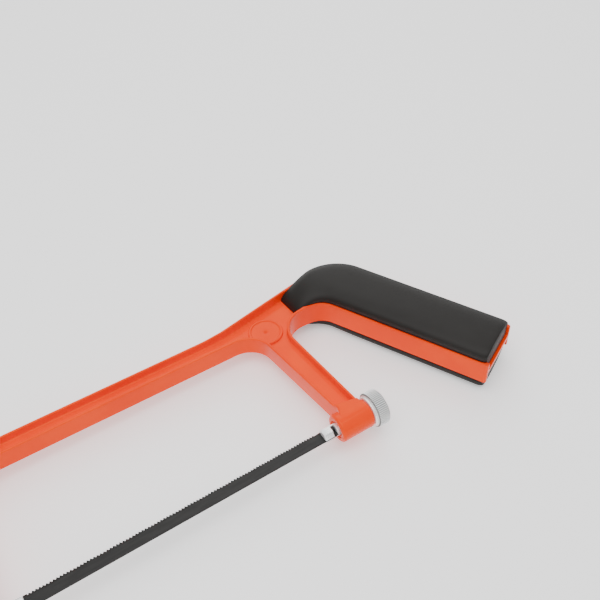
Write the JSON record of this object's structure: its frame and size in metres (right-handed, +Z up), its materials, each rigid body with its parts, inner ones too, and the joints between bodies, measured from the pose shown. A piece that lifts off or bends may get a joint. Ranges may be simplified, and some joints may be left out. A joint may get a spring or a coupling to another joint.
{
  "type": "junior hacksaw",
  "caption": "Small cast-frame hacksaw lying on its side: narrow pin-end blade, slotted hex holders, knurled tension knob and a raked two-shell grip.",
  "frame": {"origin": "middle of the bounding box in plan, at the lowest point: the saw lies on its side", "axes": "+X along the blade from the front leg to the knob, +Y from the blade to the beam, +Z up through the saw's thickness"},
  "size_m": [0.2774, 0.1076, 0.027],
  "materials": {
    "cast_frame": "gloss",
    "grip": "satin",
    "blade_steel": "satin",
    "plated_steel": "satin",
    "screw_steel": "satin"
  },
  "bodies": {
    "saw_frame": {"frame": "cast_frame", "left_grip_shell": "grip", "right_grip_shell": "grip", "grip_screws": "screw_steel", "front_blade_holder": "plated_steel", "front_holder_pin": "plated_steel", "knob_washer": "plated_steel"},
    "knob": {"tension_knob": "plated_steel"},
    "tension_bolt": {"rear_blade_holder": "plated_steel"},
    "saw_blade": {"blade": "blade_steel", "rear_blade_pin": "plated_steel", "front_blade_pin": "plated_steel"}
  },
  "joints": [
    {"name": "knob_turn", "type": "hinge", "parent": "saw_frame", "child": "knob", "pos_m": [0.05269, -0.03927, 0.0135], "axis": [1, 0, 0], "range_deg": [0, 900]},
    {"name": "bolt_slide", "type": "slide", "parent": "saw_frame", "child": "tension_bolt", "axis": [1, 0, 0], "range_m": [-0.002, 0]},
    {"name": "blade_swing", "type": "hinge", "parent": "tension_bolt", "child": "saw_blade", "pos_m": [0.02847, -0.03927, 0.0135], "axis": [0, 0, 1], "range_deg": [0, 25]}
  ],
  "couplings": [
    {"joint": "bolt_slide", "follows": "knob_turn", "m_per_rad": -0.00012732}
  ]
}
